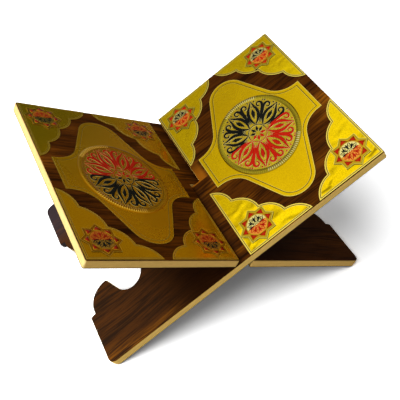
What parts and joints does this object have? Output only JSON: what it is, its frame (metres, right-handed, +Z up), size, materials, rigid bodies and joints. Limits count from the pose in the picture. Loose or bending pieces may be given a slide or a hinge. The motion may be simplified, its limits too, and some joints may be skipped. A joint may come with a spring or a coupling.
{
  "type": "folding quran stand",
  "caption": "X-shaped folding stand: two slotted boards cross at mid height, gold foil panels on the reading faces, cusped arches between the feet.",
  "frame": {"origin": "middle of the footprint, on the floor", "axes": "+X towards the right reading panel, +Y towards the back along the line where the boards cross, +Z up"},
  "size_m": [0.273, 0.21, 0.1531],
  "materials": {
    "fibreboard": "matte",
    "wood_grain_film": "satin",
    "back_film": "matte",
    "gold_foil": "metallic",
    "embossed_gold": "metallic",
    "star_sticker": "metallic"
  },
  "bodies": {
    "left_board_set": {"left_board": "fibreboard", "left_face_film": "wood_grain_film", "left_back_film": "back_film", "left_centre_foil": "gold_foil", "left_medallion": "embossed_gold", "left_inner_front_foil": "gold_foil", "left_inner_front_star": "star_sticker", "left_inner_back_foil": "gold_foil", "left_inner_back_star": "star_sticker", "left_outer_front_foil": "gold_foil", "left_outer_front_star": "star_sticker", "left_outer_back_foil": "gold_foil", "left_outer_back_star": "star_sticker"},
    "right_board_set": {"right_board": "fibreboard", "right_face_film": "wood_grain_film", "right_back_film": "back_film", "right_centre_foil": "gold_foil", "right_medallion": "embossed_gold", "right_inner_front_foil": "gold_foil", "right_inner_front_star": "star_sticker", "right_inner_back_foil": "gold_foil", "right_inner_back_star": "star_sticker", "right_outer_front_foil": "gold_foil", "right_outer_front_star": "star_sticker", "right_outer_back_foil": "gold_foil", "right_outer_back_star": "star_sticker"}
  },
  "joints": [
    {"name": "fold", "type": "hinge", "parent": "left_board_set", "child": "right_board_set", "pos_m": [0, 0, 0.07461], "axis": [0, -1, 0], "range_deg": [0, 64]}
  ]
}
